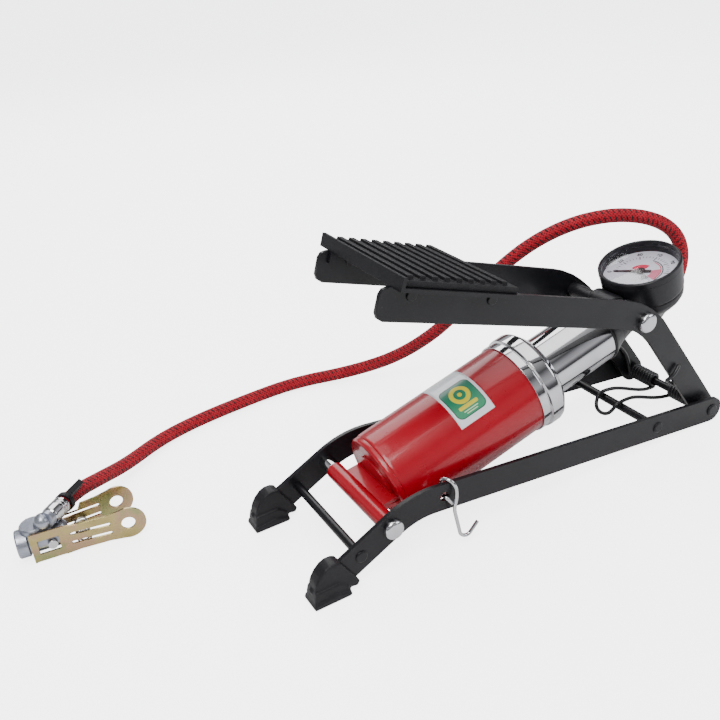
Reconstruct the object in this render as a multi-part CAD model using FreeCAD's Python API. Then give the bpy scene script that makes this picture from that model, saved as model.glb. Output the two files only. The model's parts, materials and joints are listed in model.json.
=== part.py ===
"""Single-barrel foot-operated tyre inflator: folding steel frame, lever, barrel,
pump tube with gauge head, braided hose and clip-on valve chuck.
Millimetres, +Z up, +X to the rear hinge, +Y to the far side.
Origin: middle of the footprint of the pump itself, on the floor."""
import FreeCAD, Part
import math
import os

os.makedirs("parts", exist_ok=True)
V = FreeCAD.Vector

# ---------------------------------------------------------------- dimensions
SHIFT_X = -3.4            # layout frame to row frame
BARREL_R = 27.0           # red pump barrel, outside
BARREL_WALL = 1.2
TUBE_R = 18.18            # chrome pump tube, outside
TUBE_WALL = 1.2
STRAP_T = 2.4             # base strap thickness
STRAP_HB = 8.0            # half height of every pressed strap
BASE_Y = 37.5             # outer face of the base straps
LEVER_T = 2.4
LEVER_Y = 31.0            # outer face of the lever plates
ROD_R = 2.5               # cross rods
PIVOT_R = 3.5             # pins of the barrel and the head
FRONT = (-110.6, 16.6)    # front cross rod (x, z)
P1 = (-91.5, 25.5)        # barrel hinge pin
REAR = (93.5, 13.2)       # rear cross rod
HINGE = (140.0, 8.0)      # lever hinge
P2 = (83.7, 83.8)         # lever to pump head pin
HOOK_HOLE = (-59.6, 30.9)
AXIS0 = (-92.1, 22.4)     # point of the barrel axis under the hinge pin
AXIS_DEG = 15.24
S_CAP = 15.5              # barrel bottom, along the axis
S_TOP = 113.4             # top edge of the red barrel
S_HEAD = 172.6            # chrome tube meets the head
S_GAUGE = 215.0           # gauge axis, along the barrel axis
GAUGE_R = 24.1
GAUGE_TOP = 26.0          # gauge rim above the barrel axis
HEAD_SLOT_R = 5.75        # head bore round its pin: room for the open linkage
HOSE_R = 4.3
WIRE_R = 1.0              # storage hook wire
SPRING_WIRE_R = 1.0
PITCH = math.radians(AXIS_DEG)
DX = V(math.cos(PITCH), 0, math.sin(PITCH))     # along the barrel
DN = V(-math.sin(PITCH), 0, math.cos(PITCH))    # square to it, upward
DY = V(0, 1, 0)


def onax(s, h=0.0, y=0.0):
    """Layout point at s along the barrel axis, h above it, y sideways."""
    return V(AXIS0[0], 0, AXIS0[1]) + DX * s + DN * h + DY * y


def cyl(p, d, r, h):
    return Part.makeCylinder(r, h, p, d)


def ycyl(xz, y0, y1, r):
    return Part.makeCylinder(r, y1 - y0, V(xz[0], y0, xz[1]), DY)


def fuse(*shapes):
    out = shapes[0]
    for s in shapes[1:]:
        out = out.fuse(s)
    return out.removeSplitter()


def place(origin, zdir, xdir):
    """Placement that takes local Z to zdir and local X to xdir."""
    z = V(zdir).normalize()
    x = V(xdir) - z * z.dot(V(xdir))
    x.normalize()
    y = z.cross(x)
    m = FreeCAD.Matrix(x.x, y.x, z.x, origin.x, x.y, y.y, z.y, origin.y,
                       x.z, y.z, z.z, origin.z, 0, 0, 0, 1)
    return FreeCAD.Placement(m)


def revolve(profile, origin, zdir, xdir=None):
    """Closed (r, z) profile turned about local Z, put at origin along zdir."""
    if xdir is None:
        xdir = DY
    pts = [V(r, 0, z) for r, z in profile]
    face = Part.Face(Part.makePolygon(pts + [pts[0]]))
    solid = face.revolve(V(0, 0, 0), V(0, 0, 1), 360)
    solid.Placement = place(origin, zdir, xdir)
    return Part.Solid(solid) if solid.ShapeType != "Solid" else solid


def xz_plate(points, y0, y1):
    """Polygon of (x, z) points between y0 and y1."""
    pts = [V(x, y0, z) for x, z in points]
    face = Part.Face(Part.makePolygon(pts + [pts[0]]))
    return face.extrude(V(0, y1 - y0, 0))


def unit(a, b):
    d = b - a
    return d * (1.0 / d.Length)


def arc_path(points, share=0.45, radii=None, label=None):
    """Straight runs joined by tangent arcs through a list of vectors."""
    edges, start, found = [], points[0], []
    for i in range(1, len(points) - 1):
        a, b, c = points[i - 1], points[i], points[i + 1]
        u, w = unit(a, b), unit(b, c)
        turn = math.acos(max(-1.0, min(1.0, u.dot(w))))
        t_max = share * min((b - a).Length, (c - b).Length)
        r = t_max / math.tan(turn / 2)
        if radii:
            r = min(radii, r)
        t = r * math.tan(turn / 2)
        p, q = b - u * t, b + w * t
        to_centre = (w - u) * (1.0 / (w - u).Length)
        centre = b + to_centre * (r / math.cos(turn / 2))
        mid = centre - to_centre * r
        edges.append(Part.LineSegment(start, p).toShape())
        edges.append(Part.Arc(p, mid, q).toShape())
        start = q
        found.append((round(r, 1), round(math.degrees(turn), 1)))
    edges.append(Part.LineSegment(start, points[-1]).toShape())
    if label:
        print(label, "bend radii and turns:", found)
    return Part.Wire(edges)


def pipe(points, r, share=0.45, radii=None, label=None):
    path = arc_path(points, share, radii, label)
    d = unit(points[0], points[1])
    ring = Part.Wire([Part.makeCircle(r, points[0], d)])
    solid = path.makePipeShell([ring], True, False)
    if label:
        print(label, "length %.1f volume %.0f section x length %.0f"
              % (path.Length, solid.Volume, math.pi * r * r * path.Length))
    return solid


def strap_outline(front, corner, rear, radius, hb):
    """Outline wire (XZ) of a strap with one smooth bend; round rear end."""
    f, c, e = V(front[0], 0, front[1]), V(corner[0], 0, corner[1]), V(rear[0], 0, rear[1])
    u, w = unit(f, c), unit(c, e)
    nu, nw = V(-u.z, 0, u.x), V(-w.z, 0, w.x)          # upward normals
    turn = math.acos(u.dot(w))
    t = radius * math.tan(turn / 2)
    p, q = c - u * t, c + w * t
    centre = p - nu * radius
    bis = nu + nw
    bis.normalize()
    mid = centre + bis * radius
    edges = [
        Part.LineSegment(f + nu * hb, p + nu * hb).toShape(),
        Part.Arc(p + nu * hb, mid + bis * hb, q + nw * hb).toShape(),
        Part.LineSegment(q + nw * hb, e + nw * hb).toShape(),
        Part.Arc(e + nw * hb, e + w * hb, e - nw * hb).toShape(),
        Part.LineSegment(e - nw * hb, q - nw * hb).toShape(),
        Part.Arc(q - nw * hb, mid - bis * hb, p - nu * hb).toShape(),
        Part.LineSegment(p - nu * hb, f - nu * hb).toShape(),
        Part.LineSegment(f - nu * hb, f + nu * hb).toShape(),
    ]
    return Part.Wire(edges)


parts = {}

# ------------------------------------------------------------- base frame
BEND = (-78.2, 32.45)
FRONT_END = (-131.0, 6.74)


def base_strap(y0, holes):
    wire = strap_outline(FRONT_END, BEND, HINGE, 48.0, STRAP_HB)
    wire.translate(V(0, y0, 0))
    s = Part.Face(wire).extrude(V(0, STRAP_T, 0))
    for xz, r in holes:
        s = s.cut(ycyl(xz, y0 - 1, y0 + STRAP_T + 1, r))
    # rounded long edges, as a rolled strip has
    return s.cut(Part.makeBox(400, 200, 60, V(-200, -100, -60)))


near_holes = [(FRONT, ROD_R), (P1, PIVOT_R), (REAR, ROD_R), (HINGE, ROD_R), (HOOK_HOLE, 2.6)]
far_holes = near_holes[:4]
parts["base_strap_near"] = base_strap(-BASE_Y, near_holes)
parts["base_strap_far"] = base_strap(BASE_Y - STRAP_T, far_holes)


def rod(xz, r, half, head_r, head_t):
    """Cross rod with its ends peened over outside the straps."""
    a = ycyl(xz, -half, half, r)
    prof = [(0, 0), (head_r, 0), (head_r, head_t * 0.45), (head_r * 0.72, head_t), (0, head_t)]
    e1 = revolve(prof, V(xz[0], half, xz[1]), DY, V(1, 0, 0))
    e2 = revolve(prof, V(xz[0], -half, xz[1]), V(0, -1, 0), V(1, 0, 0))
    return fuse(a, e1, e2)


parts["front_rod"] = rod(FRONT, ROD_R, BASE_Y, 3.4, 1.0)
parts["rear_rod"] = rod(REAR, ROD_R, BASE_Y, 3.4, 1.0)
parts["hinge_rod"] = rod(HINGE, ROD_R, BASE_Y, 3.8, 1.2)

# barrel pivot pin with two domed heads
dome = [(0, 0), (5.6, 0), (5.6, 1.6), (5.2, 2.6), (4.2, 3.3), (2.6, 3.7), (0, 3.8)]
pin = ycyl(P1, -BASE_Y, BASE_Y, PIVOT_R)
parts["barrel_pivot_pin"] = fuse(
    pin, revolve(dome, V(P1[0], BASE_Y, P1[1]), DY, V(1, 0, 0)),
    revolve(dome, V(P1[0], -BASE_Y, P1[1]), V(0, -1, 0), V(1, 0, 0)))
for name, y0, y1 in (("pivot_spacer_near", -BASE_Y + STRAP_T, -33.9), ("pivot_spacer_far", 24.6, BASE_Y - STRAP_T)):
    parts[name] = ycyl(P1, y0, y1, PIVOT_R + 1.1).cut(ycyl(P1, y0 - 1, y1 + 1, PIVOT_R))

# moulded rubber feet pushed on the strap ends
MOUTH_C = (-120.0, 12.08)


def foot(side):
    yc = side * (BASE_Y - STRAP_T / 2)
    body = xz_plate([(-123.4, 20.4), (-126.0, 21.5), (-129.0, 21.6), (-132.2, 20.2), (-135.4, 17.4), (-137.8, 13.6),
                     (-139.2, 9.0), (-139.8, 4.6), (-139.9, 1.4), (-139.2, 0.0), (-121.6, 0.0), (-120.4, 1.2),
                     (-119.6, 3.0), (-115.3, 2.3), (-113.9, 4.6), (-116.2, 8.6)], yc - 4.1, yc + 4.1)
    flare = xz_plate([(-140.4, 3.2), (-141.2, 1.2), (-140.8, 0.0), (-120.6, 0.0), (-119.8, 1.0), (-120.2, 2.6), (-128, 4.6)], yc - 6.4, yc + 6.4)
    wedge = xz_plate([(-138.8, 9.4), (-140.0, 5.6), (-140.4, 2.6), (-119.9, 2.2), (-120.8, 5.4), (-126.0, 9.6)], yc - 5.3, yc + 5.3)
    f = fuse(body, flare, wedge)
    wire = strap_outline(FRONT_END, BEND, HINGE, 48.0, STRAP_HB)
    y0 = -BASE_Y if side < 0 else BASE_Y - STRAP_T
    wire.translate(V(0, y0, 0))
    slot = Part.Face(wire).extrude(V(0, STRAP_T, 0)).cut(Part.makeBox(400, 200, 60, V(-200, -100, -60)))
    f = f.cut(slot)
    nub = cyl(V(-138.0, yc, 8.5), V(-1, 0, 0), 1.3, 2.4)
    return fuse(f, nub)


parts["front_foot_near"] = foot(-1)
parts["front_foot_far"] = foot(1)

# --------------------------------------------------------- return spring
# two close-wound coils on the hinge rod, one wire looped round the rear rod
coil_r, coil_in = 4.6, 2.65
coil_spans = ((-27.5, -8.0), (8.0, 27.5))
hx, hz = HINGE
rx, rz = REAR
pieces = []
for y0, y1 in coil_spans:
    pieces.append(ycyl(HINGE, y0, y1, coil_r).cut(ycyl(HINGE, y0 - 1, y1 + 1, coil_in)))
for side in (-1, 1):
    yi = side * 8.0
    yo = side * 27.5
    # wire forward to the rear rod, over it, and looped under
    run = [V(hx - 1.0, yi + side * 0.9, hz - 3.6), V(hx - 14, yi, hz - 1.9), V(rx + 12, yi, rz + 2.4),
           V(rx + 1.5, yi, rz + 4.4), V(rx - 4.4, yi, rz + 3.6),
           V(rx - 7.8, side * 6.4, rz - 2.0), V(rx - 9.2, side * 2.6, rz - 4.4), V(rx - 9.2, 0.0, rz - 4.4)]
    pieces.append(pipe(run, SPRING_WIRE_R, 0.4))
    # free end up the inside of the lever leg
    end = [V(hx - 3.6, yo - side * 0.9, hz + 1.0), V(hx - 8.4, yo - side * 0.7, hz + 15.0),
           V(hx - 15.2, yo - side * 0.6, hz + 23.5)]
    pieces.append(pipe(end, SPRING_WIRE_R, 0.4))
spring = fuse(*pieces)
parts["return_spring"] = spring

# ----------------------------------------------------------------- lever
# arm and leg of each side plate are one pressing
ARM_DIR = (-0.9453, 0.3262)
LEG_U = (0.5770, -0.8168)
leg_out = (HINGE[0] + 8.0 * 0.8168, HINGE[1] + 8.0 * 0.5770)
leg_in = (HINGE[0] - 8.0 * 0.8168, HINGE[1] - 8.0 * 0.5770)
lever_outline = [(-79.0, 152.1), (70.0, 100.7), (77.0, 97.7), (84.0, 93.6), (90.2, 88.7), (98.1, 81.1),
                 leg_out, leg_in, (88.6, 68.4), (84.4, 73.2), (79.6, 77.5), (74.4, 81.0), (66.5, 84.6),
                 (-84.2, 136.3), (-86.6, 138.4), (-87.2, 141.4), (-84.4, 149.8), (-82.4, 151.9)]


def lever_plate(y0):
    p = xz_plate(lever_outline, y0, y0 + LEVER_T)
    p = fuse(p, ycyl(HINGE, y0, y0 + LEVER_T, 8.0))
    p = p.cut(ycyl(HINGE, y0 - 1, y0 + LEVER_T + 1, ROD_R + 0.05))
    p = p.cut(ycyl(P2, y0 - 1, y0 + LEVER_T + 1, PIVOT_R))
    return p


parts["lever_plate_near"] = lever_plate(-LEVER_Y)
parts["lever_plate_far"] = lever_plate(LEVER_Y - LEVER_T)

dome2 = [(0, 0), (5.9, 0), (5.9, 2.0), (5.5, 3.0), (4.4, 3.7), (2.6, 4.0), (0, 4.0)]
parts["head_pivot_pin"] = fuse(
    ycyl(P2, -LEVER_Y, LEVER_Y, PIVOT_R),
    revolve(dome2, V(P2[0], LEVER_Y, P2[1]), DY, V(1, 0, 0)),
    revolve(dome2, V(P2[0], -LEVER_Y, P2[1]), V(0, -1, 0), V(1, 0, 0)))
# spacer tubes that keep the head in the middle of the pin
for name, y0, y1 in (("head_spacer_near", -LEVER_Y + LEVER_T, -8.9), ("head_spacer_far", 8.9, LEVER_Y - LEVER_T)):
    lip0 = y1 - 1.2 if y1 < 0 else y0
    parts[name] = fuse(ycyl(P2, y0, y1, PIVOT_R + 1.2), ycyl(P2, lip0, lip0 + 1.2, 6.3)).cut(ycyl(P2, y0 - 1, y1 + 1, PIVOT_R))


def along_arm(u, h, y=0.0):
    """Point at u along the arm from over the head pin, h above the arm's top edge."""
    base = V(83.7 - 3.0, 0, 97.0)
    return base + V(ARM_DIR[0], 0, ARM_DIR[1]) * u + V(0.3262, 0, 0.9453) * h + DY * y


def arm_box(u0, u1, h0, h1, y0, y1):
    pts = [along_arm(u0, h0), along_arm(u1, h0), along_arm(u1, h1), along_arm(u0, h1)]
    return xz_plate([(p.x, p.z) for p in pts], y0, y1)


PED0, PED1 = 96.0, 168.0
tray = fuse(
    arm_box(PED0, PED1, 0.05, 2.05, -39.0, 39.0),
    arm_box(PED0, PED1, -6.0, 0.05, -28.45, -26.45),
    arm_box(PED0, PED1, -6.0, 0.05, 26.45, 28.45),
    arm_box(PED1 - 2.0, PED1, 0.05, 7.0, -39.0, 39.0),
)
for y in (-27.45, 27.45):
    for u in (PED0 + 12, PED1 - 12):
        c = along_arm(u, -3.2)
        tray = tray.cut(ycyl((c.x, c.z), y - 2, y + 2, 1.5))
parts["pedal_tray"] = tray
pad = arm_box(PED0 + 2.0, PED1 - 3.0, 2.1, 5.1, -36.5, 36.5)
for k in range(9):
    u = PED0 + 7.0 + k * 7.0
    pad = pad.fuse(arm_box(u, u + 3.4, 5.1, 6.9, -33.5, 33.5))
parts["pedal_pad"] = pad.removeSplitter()
rivs = []
for side in (-1, 1):
    for u in (PED0 + 12, PED1 - 12):
        c = along_arm(u, -3.2)
        y0, y1 = (-LEVER_Y - 1.0, -25.4) if side < 0 else (25.4, LEVER_Y + 1.0)
        rivs.append(fuse(ycyl((c.x, c.z), y0 + 1.0, y1 - 1.0, 1.5),
                         ycyl((c.x, c.z), y0, y0 + 1.0, 2.8), ycyl((c.x, c.z), y1 - 1.0, y1, 2.8)))
for n in ("lever_plate_near", "lever_plate_far"):
    for u in (PED0 + 12, PED1 - 12):
        c = along_arm(u, -3.2)
        parts[n] = parts[n].cut(ycyl((c.x, c.z), -40, 40, 1.5))
parts["pedal_rivets"] = Part.makeCompound(rivs)

# ---------------------------------------------------------------- barrel
ri = BARREL_R - BARREL_WALL
parts["barrel_tube"] = revolve(
    [(ri, S_CAP + 3.0), (BARREL_R - 0.5, S_CAP + 3.0), (BARREL_R, S_CAP + 5.0), (BARREL_R, S_TOP), (ri, S_TOP)],
    onax(0), DX)
# pressed end cap, rolled over the tube's end
parts["barrel_end_cap"] = revolve(
    [(2.2, S_CAP), (20.0, S_CAP), (22.6, S_CAP - 0.2), (24.6, S_CAP - 0.6), (25.8, S_CAP - 0.2), (26.5, S_CAP + 0.9),
     (26.5, S_CAP + 3.0), (ri, S_CAP + 3.0), (ri, S_CAP + 6.5), (ri - 1.2, S_CAP + 6.5), (ri - 1.2, S_CAP + 1.5),
     (2.2, S_CAP + 1.5)], onax(0), DX)
# rolled hinge tube with its bracket plate, welded to the cap
ht = ycyl(P1, -33.6, 24.3, PIVOT_R + 1.45)
bracket = xz_plate([(P1[0] + 1.5, P1[1] + 0.4), (P1[0] + 2.4, P1[1] - 1.6),
                    (onax(S_CAP - 0.05, -0.6).x, onax(S_CAP - 0.05, -0.6).z),
                    (onax(S_CAP - 0.05, 1.6).x, onax(S_CAP - 0.05, 1.6).z)], -19.5, 19.5)
gusset = xz_plate([(P1[0] + 1.5, P1[1] - 3.2), (onax(S_CAP - 0.05, -4.0).x, onax(S_CAP - 0.05, -4.0).z),
                   (onax(S_CAP - 0.05, -1.8).x, onax(S_CAP - 0.05, -1.8).z), (P1[0] + 2.4, P1[1] - 0.6)], -19.5, 19.5)
flange = revolve([(2.6, S_CAP - 1.25), (16.0, S_CAP - 1.25), (16.0, S_CAP - 0.05), (2.6, S_CAP - 0.05)], onax(0), DX)
hinge_part = fuse(ht, bracket, gusset, flange)
hinge_part = hinge_part.cut(ycyl(P1, -36, 30, PIVOT_R + 0.05))
parts["barrel_hinge_bracket"] = hinge_part
# chrome collar over the top of the barrel
parts["barrel_collar"] = revolve(
    [(BARREL_R + 0.05, S_TOP - 4.0), (BARREL_R + 0.9, S_TOP - 4.0), (BARREL_R + 0.9, S_TOP + 0.4),
     (BARREL_R + 0.5, S_TOP + 1.4), (BARREL_R + 1.7, S_TOP + 2.2), (BARREL_R + 1.9, S_TOP + 3.4),
     (BARREL_R + 1.9, S_TOP + 9.0), (BARREL_R + 1.4, S_TOP + 10.4), (BARREL_R - 2.0, S_TOP + 13.6),
     (BARREL_R - 3.2, S_TOP + 14.2), (21.6, S_TOP + 14.2), (21.6, S_TOP + 12.0), (BARREL_R - 2.2, S_TOP + 12.0),
     (BARREL_R - 2.2, S_TOP + 0.05), (BARREL_R + 0.05, S_TOP + 0.05)], onax(0), DX)
parts["guide_bush"] = revolve(
    [(TUBE_R + 0.06, S_TOP - 8.0), (ri - 0.02, S_TOP - 8.0), (ri - 0.02, S_TOP + 0.03), (BARREL_R - 2.25, S_TOP + 0.03),
     (BARREL_R - 2.25, S_TOP + 11.95), (21.5, S_TOP + 11.95), (21.5, S_TOP + 13.2), (TUBE_R + 0.06, S_TOP + 13.2)],
    onax(0), DX)
parts["intake_flap"] = revolve([(0, S_CAP + 1.6), (9.0, S_CAP + 1.6), (9.0, S_CAP + 2.6), (0, S_CAP + 2.6)], onax(0), DX)

# ------------------------------------------------------- pump tube and head
S_PIS = 62.0
parts["pump_tube"] = revolve(
    [(TUBE_R - TUBE_WALL, S_PIS + 2.0), (TUBE_R, S_PIS + 2.0), (TUBE_R, S_HEAD), (TUBE_R - TUBE_WALL, S_HEAD)],
    onax(0), DX)
pis = revolve(
    [(2.8, S_PIS - 8.0), (23.4, S_PIS - 8.0), (23.4, S_PIS - 6.0), (21.4, S_PIS - 6.0), (21.4, S_PIS - 1.5),
     (24.6, S_PIS - 1.5), (24.6, S_PIS + 2.0), (TUBE_R - TUBE_WALL, S_PIS + 2.0), (TUBE_R - TUBE_WALL, S_PIS + 10.0),
     (6.2, S_PIS + 10.0), (6.2, S_PIS - 2.6), (2.8, S_PIS - 5.5)], onax(0), DX)
parts["piston"] = pis
parts["piston_cup_seal"] = revolve(
    [(21.45, S_PIS - 5.95), (24.2, S_PIS - 5.95), (25.72, S_PIS - 7.2), (25.72, S_PIS - 5.4), (24.6, S_PIS - 1.6), (21.45, S_PIS - 1.6)],
    onax(0), DX)
parts["check_ball"] = Part.makeSphere(3.9, onax(S_PIS - 2.68))
parts["check_spring"] = revolve(
    [(2.2, S_PIS + 0.8), (3.2, S_PIS + 0.8), (3.2, S_PIS + 9.0), (2.2, S_PIS + 9.0)], onax(0), DX)
parts["check_spring_seat"] = revolve(
    [(1.6, S_PIS + 9.05), (6.15, S_PIS + 9.05), (6.15, S_PIS + 10.0), (1.6, S_PIS + 10.0)], onax(0), DX)

# cast head: flange on the tube, pin boss, neck and gauge seat
flangeh = revolve([(0, S_HEAD - 9.0), (TUBE_R - TUBE_WALL, S_HEAD - 9.0), (TUBE_R - TUBE_WALL, S_HEAD),
                   (TUBE_R + 0.6, S_HEAD), (TUBE_R + 0.7, S_HEAD + 1.4), (16.6, S_HEAD + 6.0), (14.8, S_HEAD + 10.0), (13.6, S_HEAD + 15.0), (0, S_HEAD + 15.0)],
                  onax(0), DX)
neck = revolve([(0, S_HEAD + 12.0), (14.2, S_HEAD + 12.0), (12.5, S_HEAD + 20.0), (11.0, S_GAUGE), (11.0, S_GAUGE + 11.0),
                (9.4, S_GAUGE + 13.0), (0, S_GAUGE + 13.0)], onax(0), DX)
boss = ycyl(P2, -8.5, 8.5, 7.6)
web = xz_plate([(onax(S_HEAD + 4, 9).x, onax(S_HEAD + 4, 9).z), (onax(S_HEAD + 12, 9.5).x, onax(S_HEAD + 12, 9.5).z),
                (onax(S_GAUGE, 6).x, onax(S_GAUGE, 6).z), (onax(S_GAUGE, -8).x, onax(S_GAUGE, -8).z),
                (onax(S_HEAD + 6, -8).x, onax(S_HEAD + 6, -8).z)], -8.5, 8.5)
seat = revolve([(0, -13.0), (9.6, -13.0), (11.6, -9.5), (14.4, -6.2), (18.4, -2.2), (21.2, 0.8), (22.7, 3.4), (23.0, 7.4), (0, 7.4)],
               onax(S_GAUGE), DN, DY)
ridge = xz_plate([(onax(S_GAUGE + 9, -4).x, onax(S_GAUGE + 9, -4).z), (onax(S_GAUGE + 17.5, -2).x, onax(S_GAUGE + 17.5, -2).z),
                  (onax(S_GAUGE + 17.5, 0.5).x, onax(S_GAUGE + 17.5, 0.5).z), (onax(S_GAUGE + 9, 2.5).x, onax(S_GAUGE + 9, 2.5).z)], -8.0, 8.0)
head = fuse(flangeh, neck, boss, web, seat, ridge)
head = head.cut(ycyl(P2, -30, 30, HEAD_SLOT_R))
# faced pockets round the pin for the spacers and their lips
for side in (-1, 1):
    lo, hi = sorted((side * 8.85, side * 10.25))
    head = head.cut(ycyl(P2, lo, hi, 9.95))
    lo, hi = sorted((side * 10.2, side * 30.0))
    head = head.cut(ycyl(P2, lo, hi, 7.2))
# outlet boss to the rear for the hose, with its bore
OUT_DIR = V(0.9466, 0.0955, 0.3090)
OUT_DIR.normalize()
OUT0 = V(131.5, 4.2, 72.0) - OUT_DIR * 21.0
outlet = cyl(OUT0, OUT_DIR, 7.2, 14.0)
head = fuse(head, outlet)
head = head.cut(fuse(cyl(OUT0 + OUT_DIR * 6.0, OUT_DIR, 5.85, 10.5), cyl(OUT0 + OUT_DIR * 16.0, OUT_DIR, 6.45, 14.0)))
stem_bore = cyl(onax(S_GAUGE, -6.0), DN, 3.05, 14.0)
head = head.cut(stem_bore)
head = head.cut(revolve([(0, S_HEAD - 10.0), (9.0, S_HEAD - 10.0), (9.0, S_HEAD - 1.0), (0, S_HEAD + 3.0)], onax(0), DX))
head = head.cut(fuse(cyl(onax(S_HEAD - 1.0, -7.5), DX, 2.0, S_GAUGE - S_HEAD + 2.0),
                     cyl(onax(S_GAUGE, -8.5), DN, 2.0, 4.0)))
# seat face for the gauge case
head = head.cut(cyl(onax(S_GAUGE, 7.42), DN, 24.4, 40.0))
parts["pump_head"] = head

# pressure gauge on top of the head, square to the barrel
GT = GAUGE_TOP
parts["gauge_case"] = revolve(
    [(3.2, 7.45), (23.0, 7.45), (23.4, 9.0), (GAUGE_R - 0.2, GT - 4.6), (GAUGE_R - 0.2, GT - 4.0), (22.2, GT - 4.0), (22.2, 9.4), (3.2, 9.4)],
    onax(S_GAUGE), DN, DY)
parts["gauge_bezel"] = revolve(
    [(GAUGE_R - 1.9, GT - 3.95), (GAUGE_R, GT - 3.95), (GAUGE_R, GT - 0.8), (GAUGE_R - 0.5, GT - 0.2), (GAUGE_R - 1.2, GT),
     (GAUGE_R - 1.9, GT - 0.4)], onax(S_GAUGE), DN, DY)
parts["gauge_dial"] = revolve([(1.2, GT - 8.2), (22.1, GT - 8.2), (22.1, GT - 7.4), (1.2, GT - 7.4)], onax(S_GAUGE), DN, DY)
parts["gauge_lens"] = revolve([(0, GT - 3.6), (22.15, GT - 3.6), (22.15, GT - 2.4), (0, GT - 2.4)], onax(S_GAUGE), DN, DY)
stem = revolve([(0, -5.9), (3.0, -5.9), (3.0, 9.5), (4.6, 9.5), (4.6, 12.0), (0, 12.0)], onax(S_GAUGE), DN, DY)
parts["gauge_stem"] = stem
# curved pressure tube behind the dial
arc_pts = [onax(S_GAUGE + 14.0 * math.sin(math.radians(a)), 13.6, 14.0 * math.cos(math.radians(a))) for a in (0, 125, 250)]
arc = Part.Wire([Part.Arc(*arc_pts).toShape()])
ring = Part.Wire([Part.makeCircle(1.3, arc_pts[0], DX)])
tor = arc.makePipeShell([ring], True, False)
link_in = cyl(onax(S_GAUGE + 0.7, 13.6, 14.0), V(0, -1, 0), 1.0, 14.0)
bt = fuse(tor, link_in, cyl(onax(S_GAUGE, 12.05), DN, 1.6, 2.6))
parts["gauge_bourdon_tube"] = bt

# needle on its arbor, above the dial; straight pointer with a short tail
ndl = cyl(onax(S_GAUGE, GT - 8.6), DN, 0.9, 2.6)
hub = cyl(onax(S_GAUGE, GT - 7.1), DN, 2.6, 1.1)
ptr_pts = [(-6.0, -0.9), (0, -1.3), (16.5, -0.25), (16.5, 0.25), (0, 1.3), (-6.0, 0.9)]
NEEDLE_DEG = 120.0
ca, sa = math.cos(math.radians(NEEDLE_DEG)), math.sin(math.radians(NEEDLE_DEG))
pp = []
for a, b in ptr_pts:
    u, w = a * ca - b * sa, a * sa + b * ca
    pp.append(onax(S_GAUGE + u, GT - 7.0, w))
ptr = Part.Face(Part.makePolygon(pp + [pp[0]])).extrude(DN * 0.5)
parts["gauge_needle"] = fuse(ndl, hub, ptr)

# ------------------------------------------------------------ storage hook
hxk, hzk = HOOK_HOLE
hook_pts = [V(hxk + 3.4, -39.4, hzk - 4.6), V(hxk + 0.4, -39.5, hzk - 0.2), V(hxk, -37.0, hzk), V(hxk, -33.6, hzk + 0.3),
            V(hxk, -32.95, hzk + 5.0), V(hxk + 1.0, -33.9, hzk + 9.2), V(hxk + 3.4, -38.4, hzk + 9.6),
            V(hxk + 5.6, -40.2, hzk + 5.4), V(hxk + 5.6, -40.6, hzk - 1.0), V(hxk + 3.2, -41.0, hzk - 7.0),
            V(hxk + 6.0, -41.9, hzk - 25.2), V(hxk + 10.4, -42.2, hzk - 27.2), V(hxk + 17.0, -42.2, hzk - 20.6)]
parts["storage_hook"] = pipe(hook_pts, WIRE_R, 0.45, None, "storage_hook")

# -------------------------------------------------------------------- hose
# crimped end that turns with the head
COLLAR0 = OUT0 + OUT_DIR * 7.0
parts["hose_end_collar"] = revolve([(3.0, 0), (5.0, 0), (5.0, 10.5), (5.6, 11.5), (5.6, 13.5), (5.0, 14.0), (3.0, 14.0)],
                                   COLLAR0, OUT_DIR, DY)
H0 = COLLAR0 + OUT_DIR * 14.06
hose_pts = [
    H0,
    V(143.4, 5.4, 75.9),
    V(151.9, 7.0, 84.4),
    V(155.1, 9.4, 96.0),
    V(152.3, 12.6, 106.6),
    V(143.8, 17.0, 115.3),
    V(130.4, 23.5, 121.2),
    V(113.5, 32.5, 123.2),
    V(94.8, 44.0, 119.5),
    V(76.5, 57.5, 108.5),
    V(61.0, 71.5, 91.0),
    V(47.5, 88.5, 66.5),
    V(34.0, 107.0, 40.0),
    V(13.5, 131.0, 17.0),
    V(-14.0, 151.5, 6.0),
    V(-52.0, 165.0, 4.5),
    V(-92.0, 163.5, 4.5),
    V(-130.0, 159.2, 4.5),
    V(-158.0, 150.8, 4.9),
    V(-184.0, 131.5, 8.2),
    V(-204.0, 116.6, 14.4),
    V(-219.6, 104.6, 19.4),
    V(-229.7, 93.8, 21.0),
]
FERR_DIR = unit(hose_pts[-2], hose_pts[-1])
parts["air_hose"] = pipe(hose_pts, HOSE_R, 0.45, None, "air_hose")
print("hose points", [(round(p.x + SHIFT_X, 2), round(p.y, 2), round(p.z, 2)) for p in hose_pts])

# ------------------------------------------------------------------- chuck
CO = V(-256.5, 88.4, 9.6)                 # middle of the chuck's mouth
E1 = V(0.9938, -0.1115, 0.0)              # mouth to tails
E2 = V(0.1115, 0.9938, 0.0)
EZ = V(0, 0, 1)


def chp(t, y, z):
    """t from the mouth, y sideways, z above the floor."""
    return V(CO.x, CO.y, 0) + E1 * t + E2 * y + EZ * z


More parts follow.
